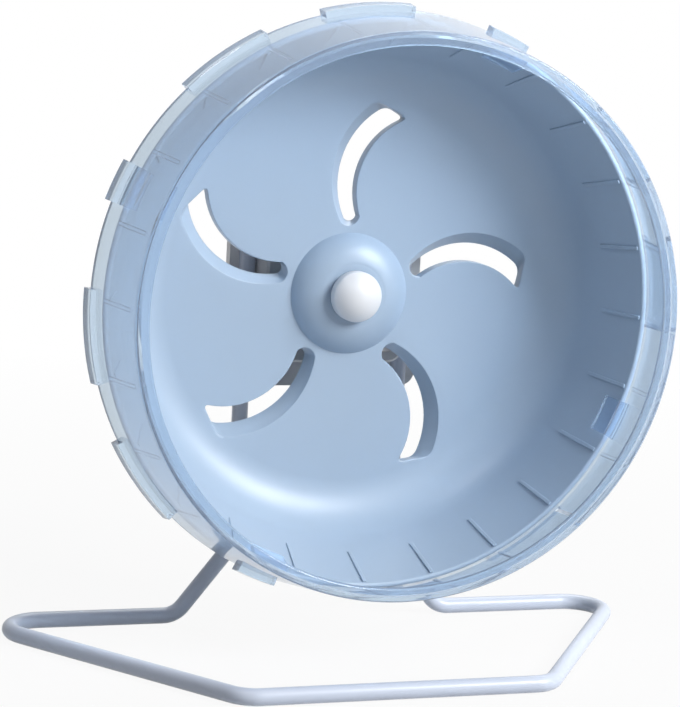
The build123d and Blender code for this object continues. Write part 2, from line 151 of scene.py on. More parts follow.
class Graph:
    """Node tree of one new material."""

    def __init__(self, name: str) -> None:
        """Start a material that has only its output node."""
        self.start(bpy.data.materials.new(name), "ShaderNodeOutputMaterial")

    def start(self, owner: bpy.types.ID, output: str) -> None:
        """Empty the tree of a material or world and give it an output node."""
        self.owner = owner
        self.owner.use_nodes = True
        self.tree = self.owner.node_tree
        self.tree.nodes.clear()
        self.output = self.tree.nodes.new(output)

    def seen(self) -> Value:
        """Tell which rays show the surroundings themselves, also in a mirror or through glass.

        Returns:
            1 for such a ray, and 0 for one that lights a matt surface.
        """
        rays = self.node("ShaderNodeLightPath", {}, {})
        camera, glossy, transmission, bounces = (
            Value(self, rays.outputs[kind])
            for kind in ("Is Camera Ray", "Is Glossy Ray", "Is Transmission Ray", "Diffuse Depth")
        )
        return ((camera + glossy + transmission).clamped() - bounces).clamped()

    def node(self, kind: str, settings: dict, sockets: dict) -> bpy.types.Node:
        """Add a node.

        Args:
            kind: the node's type.
            settings: its properties, set before its sockets.
            sockets: values, links or wrapped values by socket name or number.

        Returns:
            The new node.
        """
        made = self.tree.nodes.new(kind)
        for name, setting in settings.items():
            setattr(made, name, setting)
        for key, value in sockets.items():
            socket = made.inputs[key]
            if isinstance(value, Value):
                self.tree.links.new(value.socket, socket)
            elif isinstance(value, bpy.types.NodeSocket):
                self.tree.links.new(value, socket)
            else:
                socket.default_value = value
        return made

    def noise(self, scale: float, detail: float = 2.0, stretch: Factors = (1.0, 1.0, 1.0)) -> Value:
        """Add noise on the object's own coordinates.

        Args:
            scale: how many waves there are to a metre.
            detail: how many finer layers are added.
            stretch: factors on the coordinates along X, Y and Z.

        Returns:
            A value from 0 to 1.
        """
        place = self.node("ShaderNodeTexCoord", {}, {})
        mapping = self.node("ShaderNodeMapping", {}, {"Vector": place.outputs["Object"], "Scale": stretch})
        made = self.node(
            "ShaderNodeTexNoise",
            {},
            {"Vector": mapping.outputs[0], "Scale": scale, "Detail": detail, "Roughness": 0.55},
        )
        return Value(self, made.outputs["Fac"])

    def blend(self, factor: Value, low: Colour, high: Colour) -> bpy.types.NodeSocket:
        """Return a colour between two by a factor."""
        made = self.node("ShaderNodeMix", {"data_type": "RGBA"}, {0: factor, 6: (*low, 1.0), 7: (*high, 1.0)})
        return made.outputs[2]

    def bump(self, height: Value, strength: float, distance: float) -> bpy.types.NodeSocket:
        """Return a normal roughened by a height."""
        made = self.node(
            "ShaderNodeBump", {}, {"Strength": strength, "Distance": distance, "Height": height}
        )
        return made.outputs[0]

    def mixed(self, factor: Value, first: bpy.types.Node, second: bpy.types.Node) -> bpy.types.Node:
        """Return a shader between two by a factor."""
        return self.node("ShaderNodeMixShader", {}, {0: factor, 1: first.outputs[0], 2: second.outputs[0]})

    def finish(self, shader: bpy.types.NodeSocket) -> bpy.types.ID:
        """Join a shader to the output and return the material or world."""
        self.tree.links.new(shader, self.output.inputs["Surface"])
        return self.owner


class WorldGraph(Graph):
    """Node tree of one new world."""

    def __init__(self, name: str) -> None:
        """Start a world that has only its output node."""
        self.start(bpy.data.worlds.new(name), "ShaderNodeOutputWorld")


def scaled(colour: Colour, factor: float) -> Colour:
    """Return a colour made lighter or darker by a factor."""
    return (colour[0] * factor, colour[1] * factor, colour[2] * factor)


@dataclass(frozen=True)
class MouldedPlastic:
    """Opaque moulded plastic or smooth paint, slightly uneven in colour and gloss."""

    name: str
    colour: Colour
    roughness: float
    coat: float
    coat_roughness: float = 0.12
    mottle: float = 0.03
    mottle_scale: float = 14.0
    grain_scale: float = 900.0
    grain_strength: float = 0.06
    grain_depth: float = 0.00006
    wear_scale: float = 84.0
    wear: float = 0.1
    index: float = 1.5

    def build(self) -> bpy.types.Material:
        """Build the material's nodes.

        Returns:
            The finished material.
        """
        graph = Graph(self.name)
        clouds = graph.noise(self.mottle_scale, 3.0)
        grain = graph.noise(self.grain_scale, 2.0)
        worn = graph.noise(self.wear_scale, 4.0)
        darker, lighter = (scaled(self.colour, 1.0 + shift) for shift in (-self.mottle, self.mottle))
        body = graph.node(
            "ShaderNodeBsdfPrincipled",
            {},
            {
                "Base Color": graph.blend(clouds, darker, lighter),
                "Roughness": self.roughness - self.wear / 2 + worn * self.wear,
                "IOR": self.index,
                "Coat Weight": self.coat,
                "Coat Roughness": self.coat_roughness,
                "Normal": graph.bump(grain, self.grain_strength, self.grain_depth),
            },
        )
        return graph.finish(body.outputs[0])


@dataclass(frozen=True)
class ClearPlastic:
    """Clear moulded plastic that bends light, with a faint tint, a thin haze and a pale shadow."""

    name: str
    tint: Colour
    haze_colour: Colour
    haze: float
    shadow: Colour
    roughness: float = 0.02
    unevenness: float = 0.03
    index: float = 1.46
    cloud_scale: float = 30.0
    ripple_scale: float = 45.0
    ripple_strength: float = 0.1
    ripple_depth: float = 0.0004

    def build(self) -> bpy.types.Material:
        """Build the material's nodes.

        Returns:
            The finished material.
        """
        graph = Graph(self.name)
        clouds = graph.noise(self.cloud_scale, 3.0)
        ripple = graph.noise(self.ripple_scale, 2.0)
        normal = graph.bump(ripple, self.ripple_strength, self.ripple_depth)
        clear = graph.node(
            "ShaderNodeBsdfPrincipled",
            {},
            {
                "Base Color": graph.blend(clouds, scaled(self.tint, 0.98), self.tint),
                "Roughness": self.roughness + clouds * self.unevenness,
                "IOR": self.index,
                "Transmission Weight": 1.0,
                "Normal": normal,
            },
        )
        milky = graph.node(
            "ShaderNodeBsdfPrincipled",
            {},
            {
                "Base Color": graph.blend(clouds, scaled(self.haze_colour, 0.95), self.haze_colour),
                "Roughness": 0.3 + clouds * 0.1,
                "Normal": normal,
            },
        )
        open_way = graph.node("ShaderNodeBsdfTransparent", {}, {"Color": (*self.shadow, 1.0)})
        hazed = graph.mixed((self.haze + clouds * self.unevenness).clamped(), clear, milky)
        rays = graph.node("ShaderNodeLightPath", {}, {})
        shadow_ray = Value(graph, rays.outputs["Is Shadow Ray"])
        return graph.finish(graph.mixed(shadow_ray, hazed, open_way).outputs[0])


@dataclass(frozen=True)
class BareMetal:
    """Ground, turned or plated metal, with fine marks along the axle's turning."""

    name: str
    colour: Colour
    roughness: float
    mark_scale: float = 700.0
    mark_stretch: Factors = (1.0, 0.15, 1.0)
    mark_strength: float = 0.15
    mark_depth: float = 0.00004
    stain_scale: float = 40.0
    stain_shade: float = 0.9
    unevenness: float = 0.12

    def build(self) -> bpy.types.Material:
        """Build the material's nodes.

        Returns:
            The finished material.
        """
        graph = Graph(self.name)
        marks = graph.noise(self.mark_scale, 3.0, self.mark_stretch)
        stains = graph.noise(self.stain_scale, 3.0)
        body = graph.node(
            "ShaderNodeBsdfPrincipled",
            {},
            {
                "Base Color": graph.blend(stains, scaled(self.colour, self.stain_shade), self.colour),
                "Metallic": 1.0,
                "Roughness": self.roughness + marks * self.unevenness,
                "Normal": graph.bump(marks, self.mark_strength, self.mark_depth),
            },
        )
        return graph.finish(body.outputs[0])


FINISHES = {
    Slot.ROD: MouldedPlastic(
        "powder_coat", (0.62, 0.68, 0.80), roughness=0.36, coat=0.15, mottle=0.015, grain_strength=0.12
    ),
    Slot.WHITE: MouldedPlastic("white_satin_plastic", (0.76, 0.76, 0.77), roughness=0.4, coat=0.1, mottle=0.01),
    Slot.BLUE: MouldedPlastic(
        "blue_gloss_plastic", (0.365, 0.46, 0.575), roughness=0.42, coat=0.2, coat_roughness=0.28
    ),
    Slot.CLEAR: ClearPlastic(
        "clear_plastic",
        tint=(0.64, 0.77, 0.88),
        haze_colour=(0.50, 0.60, 0.76),
        haze=0.16,
        shadow=(0.9, 0.93, 0.97),
    ),
    Slot.FASTENER: BareMetal("zinc_plated_steel", (0.60, 0.60, 0.62), 0.28),
    Slot.SLEEVE: BareMetal("turned_aluminium", (0.75, 0.75, 0.77), 0.3),
    Slot.BEARING: BareMetal("ground_steel", (0.72, 0.72, 0.74), 0.14),
    Slot.SHIELD: BareMetal("pressed_steel", (0.66, 0.66, 0.68), 0.24),
}


def on_wheel(depth: float, radius: float, angle: float = 90.0) -> Vector:
    """Return the place, in metres, of a depth, distance and angle round the axle in millimetres."""
    turn = math.radians(angle)
    return Vector((radius * math.cos(turn), depth, AXLE_HEIGHT + radius * math.sin(turn))) * MM


def arc(centre: Point, radius: float, start: float, end: float, steps: int) -> list[Point]:
    """Divide an arc into equal steps.

    Args:
        centre: the arc's centre.
        radius: its radius.
        start: angle of the first point in degrees.
        end: angle of the last point in degrees.
        steps: how many steps there are.

    Returns:
        One point more than there are steps.
    """
    points = []
    for step in range(steps + 1):
        angle = math.radians(start + (end - start) * step / steps)
        points.append((centre[0] + radius * math.cos(angle), centre[1] + radius * math.sin(angle)))
    return points


def between(first: Point, last: Point, share: float) -> Point:
    """Return the point at a share of the way between two."""
    return (first[0] + (last[0] - first[0]) * share, first[1] + (last[1] - first[1]) * share)


def eased(first: Point, corner: Point, last: Point, steps: int) -> list[Point]:
    """Cut a corner short with a curve.

    Args:
        first: where the curve leaves one side.
        corner: the corner itself.
        last: where it meets the other side.
        steps: how many steps there are.

    Returns:
        The points after the first.
    """
    points = []
    for step in range(1, steps + 1):
        share = step / steps
        points.append(between(between(first, corner, share), between(corner, last, share), share))
    return points


def arc_through(first: Point, middle: Point, last: Point, steps: int, share: float = 1.0) -> list[Point]:
    """Divide the arc through three points into equal steps.

    Args:
        first: where the arc starts.
        middle: a point that it passes.
        last: where the whole arc would end.
        steps: how many steps there are.
        share: how much of the arc is kept, from the first point on.

    Returns:
        One point more than there are steps.
    """
    a, b, c = (complex(*point) for point in (first, middle, last))
    w = (c - a) / (b - a)
    centre = (b - a) * (w - abs(w) ** 2) / (2j * w.imag) + a
    radius = abs(a - centre)
    start = math.atan2((a - centre).imag, (a - centre).real)
    sweep_middle = math.atan2(((b - centre) / (a - centre)).imag, ((b - centre) / (a - centre)).real)
    sweep = math.atan2(((c - centre) / (a - centre)).imag, ((c - centre) / (a - centre)).real)
    if sweep * sweep_middle < 0:
        sweep += math.copysign(math.tau, sweep_middle)
    degrees = math.degrees(start)
    return arc((centre.real, centre.imag), radius, degrees, degrees + math.degrees(sweep) * share, steps)


def begin(name: str) -> bpy.types.Object:
    """Open a new, empty mesh object in edit mode and return it."""
    bpy.ops.object.select_all(action="DESELECT")
    bpy.ops.mesh.primitive_plane_add(size=MM)
    piece = bpy.context.object
    piece.name = name
    bpy.ops.object.mode_set(mode="EDIT")
    bpy.ops.mesh.select_mode(type="VERT")
    bpy.ops.mesh.select_all(action="SELECT")
    bpy.ops.mesh.delete(type="VERT")
    return piece


def pick(numbers: Iterable[int]) -> None:
    """Select the vertices with these numbers, and what they bound."""
    bpy.ops.mesh.select_all(action="DESELECT")
    mesh = bmesh.from_edit_mesh(bpy.context.object.data)
    mesh.verts.ensure_lookup_table()
    for number in numbers:
        mesh.verts[number].select = True
    mesh.select_flush(True)
    bmesh.update_edit_mesh(bpy.context.object.data)


def draw(points: Sequence[Vector], closed: bool) -> None:
    """Draw a line in the open mesh by extruding one vertex from point to point.

    Args:
        points: places in metres.
        closed: whether the last point joins the first.
    """
    bpy.ops.mesh.select_all(action="DESELECT")
    bpy.ops.mesh.primitive_plane_add(size=MM, location=points[0])
    bpy.ops.mesh.merge(type="CENTER")
    for previous, point in zip(points, points[1:]):
        bpy.ops.mesh.extrude_region_move(TRANSFORM_OT_translate={"value": point - previous})
    if closed:
        total = len(bmesh.from_edit_mesh(bpy.context.object.data).verts)
        pick((total - len(points), total - 1))
        bpy.ops.mesh.edge_face_add()


def close_edit() -> None:
    """Merge what coincides, turn all faces outwards and leave edit mode."""
    bpy.ops.mesh.select_all(action="SELECT")
    bpy.ops.mesh.remove_doubles(threshold=MERGE_DISTANCE)
    bpy.ops.mesh.normals_make_consistent(inside=False)
    bpy.ops.object.mode_set(mode="OBJECT")


def lathe(name: str, profile: Sequence[Point], closed: bool = True) -> bpy.types.Object:
    """Spin a profile round the axle.

    Args:
        name: name of the new piece.
        profile: points as depth and distance from the axle, in millimetres.
        closed: False where the profile starts and ends on the axle.

    Returns:
        The new object.
    """
    piece = begin(name)
    draw([on_wheel(depth, radius) for depth, radius in profile], closed)
    bpy.ops.mesh.select_all(action="SELECT")
    bpy.ops.mesh.spin(steps=LATHE_STEPS, angle=math.tau, center=AXLE, axis=(0.0, 1.0, 0.0))
    close_edit()
    return piece


def loft(name: str, loops: Sequence[Sequence[Vector]]) -> bpy.types.Object:
    """Bridge closed outlines into one solid.

    Args:
        name: name of the new piece.
        loops: outlines of equally many places in metres, from one end to the other.

    Returns:
        The new object.
    """
    piece = begin(name)
    for loop in loops:
        draw(loop, closed=True)
    count = len(loops[0])
    for layer in range(len(loops) - 1):
        pick(range(layer * count, (layer + 2) * count))
        bpy.ops.mesh.bridge_edge_loops()
    for start in (0, (len(loops) - 1) * count):
        pick(range(start, start + count))
        bpy.ops.mesh.edge_face_add()
    close_edit()
    return piece


def sector(name: str, profile: Sequence[Point], start: float, sweep: float, steps: int) -> bpy.types.Object:
    """Return a solid with one profile, swept part of the way round the axle, angles in degrees."""
    angles = [start + sweep * step / steps for step in range(steps + 1)]
    return loft(name, [[on_wheel(depth, radius, angle) for depth, radius in profile] for angle in angles])


def join(pieces: Sequence[bpy.types.Object], name: str) -> bpy.types.Object:
    """Join several meshes.

    Args:
        pieces: the objects, of which the first is kept.
        name: name of the joined object.

    Returns:
        The joined object.
    """
    bpy.ops.object.select_all(action="DESELECT")
    for piece in pieces:
        piece.select_set(True)
    bpy.context.view_layer.objects.active = pieces[0]
    if len(pieces) > 1:
        bpy.ops.object.join()
    joined = bpy.context.object
    joined.name = name
    return joined


def copies_round(piece: bpy.types.Object, turns: Iterable[float]) -> list[bpy.types.Object]:
    """Copy a piece round the axle and delete the original.

    Args:
        piece: the object to copy.
        turns: angle of each copy in degrees.

    Returns:
        The copies, each with its own turned mesh.
    """
    made = []
    for turn in turns:
        copy = piece.copy()
        copy.data = piece.data.copy()
        rotation = Matrix.Rotation(math.radians(turn), 4, ANTICLOCKWISE)
        copy.data.transform(Matrix.Translation(AXLE) @ rotation @ Matrix.Translation(-AXLE))
        bpy.context.collection.objects.link(copy)
        made.append(copy)
    bpy.data.objects.remove(piece)
    return made


def combine(piece: bpy.types.Object, tool: bpy.types.Object, layer: Layer) -> None:
    """Change a piece by a tool, then delete the tool.

    Args:
        piece: the object that is changed.
        tool: the object that is cut out of it or added to it.
        layer: which of the two is done.
    """
    bpy.ops.object.select_all(action="DESELECT")
    piece.select_set(True)
    bpy.context.view_layer.objects.active = piece
    modifier = piece.modifiers.new(layer.name, "BOOLEAN")
    modifier.operation = layer.value
    modifier.solver = "EXACT"
    modifier.object = tool
    bpy.ops.object.modifier_apply(modifier=modifier.name)
    bpy.data.objects.remove(tool)


def rounded_bar(name: str, size: Vector, place: Vector, tilt: float, bevel: float) -> bpy.types.Object:
    """Add a bar with rounded edges, tilted about X.

    Args:
        name: name of the new piece.
        size: width, length and height in metres.
        place: its middle, in metres.
        tilt: angle about X in radians.
        bevel: radius of its edges in metres.

    Returns:
        The new object, with its place in its mesh.
    """
    bpy.ops.object.select_all(action="DESELECT")
    bpy.ops.mesh.primitive_cube_add(size=1.0, location=place, rotation=(tilt, 0.0, 0.0), scale=size)
    bar = bpy.context.object
    bar.name = name
    bpy.ops.object.transform_apply(location=True, rotation=True, scale=True)
    bpy.ops.object.mode_set(mode="EDIT")
    bpy.ops.mesh.select_all(action="SELECT")
    bpy.ops.mesh.bevel(offset=bevel, segments=3)
    close_edit()
    return bar


class Dresser:
    """Gives pieces their finish, smoothness, body and node."""

    def __init__(self, frame: dict) -> None:
        """Build every finish once."""
        self.nodes = frame["nodes"]
        self.materials = {slot: finish.build() for slot, finish in FINISHES.items()}
        self.replaced: set[str] = set()

    def dress(self, piece: bpy.types.Object, slot: Slot, body: Body, node: str) -> None:
        """Finish a new piece that stands for a node of the frame.

        Args:
            piece: the new object.
            slot: the material slot it takes its finish from.
            body: the body that it rides on.
            node: the node that it replaces.
        """
        piece.data.materials.clear()
        piece.data.materials.append(self.materials[slot])
        bpy.ops.object.select_all(action="DESELECT")
        piece.select_set(True)
        bpy.context.view_layer.objects.active = piece
        bpy.ops.object.shade_smooth_by_angle(angle=SMOOTH_ANGLE)
        weighted = piece.modifiers.new("weighted", "WEIGHTED_NORMAL")
        weighted.keep_sharp = True
        weighted.weight = 100
        bpy.ops.object.modifier_apply(modifier=weighted.name)
        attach(piece, body.value)
        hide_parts(node)
        self.replaced.add(node)
        LOG.info("%s: %d faces", piece.name, len(piece.data.polygons))

    def dress_nodes(self, record: dict) -> None:
        """Finish every node of the frame that no new piece replaces.

        Args:
            record: the frame's record, with its list of pieces.
        """
        for entry in record["subparts"]:
            if entry["node"] in self.replaced:
                continue
            node = self.nodes[entry["node"]]
            node.data.shade_smooth()
            weld = node.modifiers.new("weld", "WELD")
            weld.merge_threshold = MERGE_DISTANCE
            split = node.modifiers.new("edges", "EDGE_SPLIT")
            split.split_angle = SMOOTH_ANGLE
            material = self.materials[Slot(entry["material_slot"])]
            if not node.material_slots:
                node.data.materials.append(material)
            for holder in node.material_slots:
                holder.material = material
            LOG.info("%s: node dressed", entry["node"])


@dataclass
class SwirlSlots:
    """Five curved slots, given for the topmost one as distances and angles round the axle."""

    count: int = 5
    radii: tuple[float, float, float] = (28.5, 50.0, 76.2)
    angles: tuple[float, float, float] = (99.5, 100.5, 84.0)
    sweeps: tuple[float, float, float] = (14.5, 13.0, 10.5)
    drops: tuple[float, float, float] = (2.1, 0.0, -3.9)
    end_bulge: float = 2.4
    ramp_width: float = 4.2
    ramp_depth: float = 5.0
    skirt_wall: float = 2.0
    rib_width: float = 2.0
    rib_depth: float = 4.0
    edge_round: float = 0.55
    corner_round: float = 3.0

    @property
    def width(self) -> float:
        """Width of a slot at its middle."""
        return self.radii[1] * math.radians(self.sweeps[1])

    def side(self, width: float, turn: float, grow: float) -> list[Point]:
        """Find three points along the slot.

        Args:
            width: how far they are from its convex side.
            turn: angle from the topmost slot in degrees.
            grow: how far the end points move outwards past the slot's ends.

        Returns:
            An inner, a middle and an outer point.
        """
        share = width / self.width
        points = []
        for radius, angle, sweep, drop, growth in zip(
            self.radii, self.angles, self.sweeps, self.drops, (-grow, 0.0, grow)
        ):
            where = math.radians(angle - sweep * share + turn)
            distance = radius + drop * share + growth
            points.append((distance * math.cos(where), distance * math.sin(where)))
        return points

    def side_with_corner(self, side: list[Point], other: list[Point]) -> list[Point]:
        """Follow one side of a slot and the rounding of its outer corner.

        Args:
            side: three points along the side.
            other: three points along the opposite side.

        Returns:
            Points from the inner end outwards.
        """
        reach = min(self.corner_round, 0.4 * math.dist(side[2], other[2]))
        length = math.dist(side[0], side[1]) + math.dist(side[1], side[2])
        points = arc_through(*side, 20, 1.0 - reach / length)
        landing = between(side[2], other[2], reach / math.dist(side[2], other[2]))
        return points + eased(points[-1], side[2], landing, 5)

    def outline(self, depth: float, start: float, end: float, grow: float, turn: float = 0.0) -> list[Vector]:
        """Outline a slot, or the part of its width between two lines along it.

        Args:
            depth: place along the axle in millimetres.
            start: distance of the near side from the convex side.
            end: distance of the far side from the convex side.
            grow: how far the outline stands out all round.
            turn: angle from the topmost slot in degrees.

        Returns:
            A closed line of places in metres.
        """
        convex = self.side(start - grow, turn, grow)
        concave = self.side(end + grow, turn, grow)
        middle = ((convex[0][0] + concave[0][0]) / 2, (convex[0][1] + concave[0][1]) / 2)
        reach = math.hypot(*middle)
        bulge = self.end_bulge * (end - start) / self.width
        tip = (middle[0] * (1 - bulge / reach), middle[1] * (1 - bulge / reach))
        points = self.side_with_corner(convex, concave)
        points += reversed(self.side_with_corner(concave, convex))
        points += arc_through(concave[0], tip, convex[0], 6)[1:-1]
        return [Vector((x, depth, AXLE_HEIGHT + z)) * MM for x, z in points]

    def turns(self, start: float = 0.0) -> list[float]:
        """Return the angles of the slots from the topmost one."""
        return [start + 360.0 / self.count * step for step in range(self.count)]

    def cutter(self, disc_front: float) -> bpy.types.Object:
        """Return the tool that cuts all slots, with broken front edges and a ramp on the convex side."""
        edge = self.edge_round
        loops = [
            self.outline(disc_front - edge, 0, self.width, 2 * edge),
            self.outline(disc_front, 0, self.width, edge),
            self.outline(disc_front + 0.3 * edge, 0, self.width, 0.3 * edge),
            self.outline(disc_front + edge, 0, self.width, 0),
            self.outline(disc_front + self.ramp_depth, self.ramp_width, self.width, 0),
            self.outline(disc_front + self.ramp_depth + 1, self.ramp_width, self.width, 0),
        ]
        return join(copies_round(loft("slot_cutter", loops), self.turns()), "slot_cutters")

    def skirts(self, disc_front: float, disc_back: float) -> bpy.types.Object:
        """Return the walls behind the disc that stand round the slots."""
        loops = [
            self.outline(disc_back - 0.02, 0, self.width, self.skirt_wall),
            self.outline(disc_front + self.ramp_depth, 0, self.width, self.skirt_wall),
        ]
        return join(copies_round(loft("slot_skirt", loops), self.turns()), "slot_skirts")

    def stiffeners(self, disc_front: float, disc_back: float) -> bpy.types.Object:
        """Return the curved ribs on the back of the disc, between the slots."""
        loops = [
            self.outline((disc_front + disc_back) / 2, 0, self.rib_width, 0),
            self.outline(disc_back + self.rib_depth - 0.4, 0, self.rib_width, 0),
            self.outline(disc_back + self.rib_depth, 0, self.rib_width, -0.4),
        ]
        return join(copies_round(loft("swirl_rib", loops), self.turns(180.0 / self.count)), "swirl_ribs")


@dataclass
class RunningRibs:
    """Small ribs across the running surface, in line on the bowl and on the ring."""

    count: int = 24
    phase: float = -1.4
    width: float = 1.6
    height: float = 0.36
    bevel: float = 0.31

    def build(self, name: str, start: float, length: float, wall: Callable[[float], float]) -> bpy.types.Object:
        """Build all ribs on one wall.

        Args:
            name: name of the joined piece.
            start: depth where the ribs start.
            length: how deep they reach from there.
            wall: the wall's inner radius by depth.

        Returns:
            The joined ribs.
        """
        middle = start + length / 2
        tilt = math.atan2(wall(start + length) - wall(start), length)
        size = Vector((self.width, length / math.cos(tilt), 2 * self.height)) * MM
        bar = rounded_bar(name, size, on_wheel(middle, wall(middle)), tilt, self.bevel * MM)
        turns = [self.phase + 360.0 / self.count * step for step in range(self.count)]
        return join(copies_round(bar, turns), name)


@dataclass
class Bowl:
    """Dished bowl: sloped running wall, flat disc with swirl slots, bearing housing."""

    rim_front: float = -18.1
    rim_radius: float = 108.0
    wall: float = 2.2
    taper: float = 18.8
    bend: float = 22.0
    disc_front: float = 26.7
    disc_thickness: float = 2.6
    housing_front: float = 21.6
    housing_back: float = 39.4
    housing_radius: float = 14.0
    seat_radius: float = 11.02
    shoulder_radius: float = 9.2
    shoulder_front: float = 28.9
    shoulder_back: float = 31.9
    root_round: float = 0.5
    rib_start: float = 0.8
    rib_length: float = 20.0

    @property
    def disc_back(self) -> float:
        """Depth of the disc's back."""
        return self.disc_front + self.disc_thickness

    @property
    def inner_rim_radius(self) -> float:
        """Inner radius of the wall at the rim."""
        return self.rim_radius - self.wall / math.cos(math.radians(self.taper))

    def wall_radius(self, depth: float, rim_radius: float) -> float:
        """Return the radius of one face of the sloped wall at a depth."""
        return rim_radius - (depth - self.rim_front) * math.tan(math.radians(self.taper))

    def inside(self, depth: float) -> float:
        """Return the wall's inner radius at a depth."""
        return self.wall_radius(depth, self.inner_rim_radius)

    def corner(self, face: float, rim_radius: float, bend: float) -> list[Point]:
        """Round the corner between the disc and the sloped wall.

        Args:
            face: depth of one face of the disc.
            rim_radius: radius of the same face of the wall, at the rim.
            bend: radius of the rounding.

        Returns:
            Points from the disc outwards.
        """
        slope = math.radians(self.taper)
        centre_depth = face - bend
        touch = centre_depth + bend * math.sin(slope)
        centre_radius = self.wall_radius(touch, rim_radius) - bend * math.cos(slope)
        return arc((centre_depth, centre_radius), bend, 0.0, 90.0 - self.taper, BEND_STEPS)

    def profile(self) -> list[Point]:
        """Return the closed profile of bowl and housing."""
        small = self.root_round
        rim_middle = (self.rim_radius + self.inner_rim_radius) / 2
        rim_half = (self.rim_radius - self.inner_rim_radius) / 2
        return [
            (self.housing_front, self.seat_radius),
            (self.housing_front, self.housing_radius - small),
            (self.housing_front + small, self.housing_radius),
            (self.disc_front, self.housing_radius),
            *self.corner(self.disc_front, self.inner_rim_radius, self.bend),
            *arc((self.rim_front + rim_half, rim_middle), rim_half, 270.0, 90.0, 10),
            *reversed(self.corner(self.disc_back, self.rim_radius, self.bend + self.wall)),
            (self.disc_back, self.housing_radius + small),
            (self.disc_back + small, self.housing_radius),
            (self.housing_back - small, self.housing_radius),
            (self.housing_back, self.housing_radius - small),
            (self.housing_back, self.seat_radius),
            (self.shoulder_back, self.seat_radius),
            (self.shoulder_back, self.shoulder_radius),
            (self.shoulder_front, self.shoulder_radius),
            (self.shoulder_front, self.seat_radius),
        ]

    def build(self, slots: SwirlSlots, ribs: RunningRibs) -> bpy.types.Object:
        """Return the whole bowl."""
        dish = lathe("dish", self.profile())
        combine(dish, slots.cutter(self.disc_front), Layer.CUT)
        skirts = slots.skirts(self.disc_front, self.disc_back)
        combine(skirts, slots.cutter(self.disc_front), Layer.CUT)
        running = ribs.build("bowl_ribs", self.rim_front + self.rib_start, self.rib_length, self.inside)
        stiffeners = slots.stiffeners(self.disc_front, self.disc_back)
        return join([dish, skirts, running, stiffeners], "bowl")


